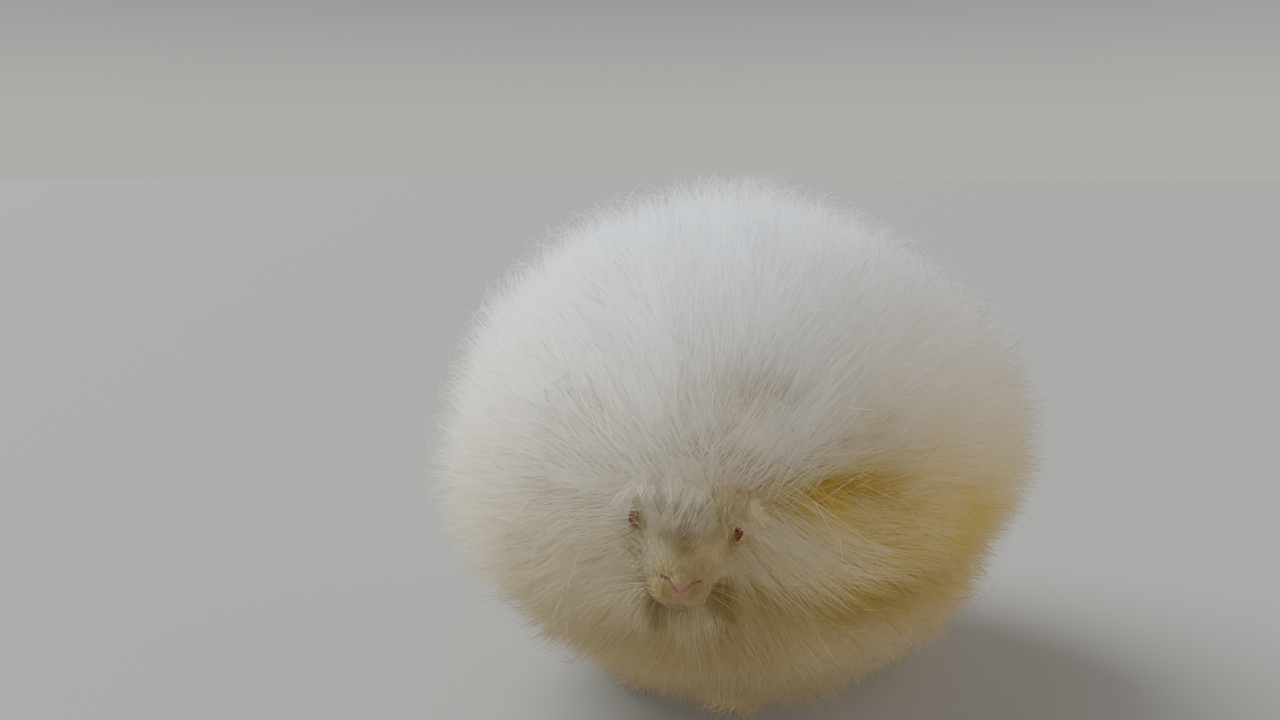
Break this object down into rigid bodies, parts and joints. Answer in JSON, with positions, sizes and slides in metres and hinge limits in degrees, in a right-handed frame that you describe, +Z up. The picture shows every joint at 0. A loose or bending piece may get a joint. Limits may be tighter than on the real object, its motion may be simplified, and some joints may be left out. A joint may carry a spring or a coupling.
{
  "type": "angora rabbit",
  "caption": "White longhaired rabbit at rest, its blown-out coat a round ball, head turned to its left, furnished ears and a pink nose.",
  "frame": {"origin": "on the floor, under the middle of the coat", "axes": "+Z up, +Y from the head end towards the rump, +X towards the rabbit's left"},
  "size_m": [0.4009, 0.466, 0.3629],
  "materials": {
    "wool": "long white wool in soft fine strands, cream towards the skin, with a yellow tint on the lower left flank",
    "face_fur": "short soft white fur on the face, pink skin showing at the nose, lips and lids, longer wool on cheeks, chin and forelock",
    "ear_fur": "short white fur outside, thin pink skin inside the cup, long wool at the rims and tips",
    "paw_fur": "short dense cream fur with thicker fur under the foot, and horn-coloured claws",
    "eye": "wet glossy ruby eye with a darker pupil"
  },
  "bodies": {
    "root": {"torso": "wool", "neck": "wool", "tail": "wool", "head": "face_fur", "ear_left": "ear_fur", "ear_right": "ear_fur", "eye_left": "eye", "eye_right": "eye", "foreleg_left": "paw_fur", "foreleg_right": "paw_fur", "hindleg_left": "paw_fur", "hindleg_right": "paw_fur"}
  },
  "joints": []
}
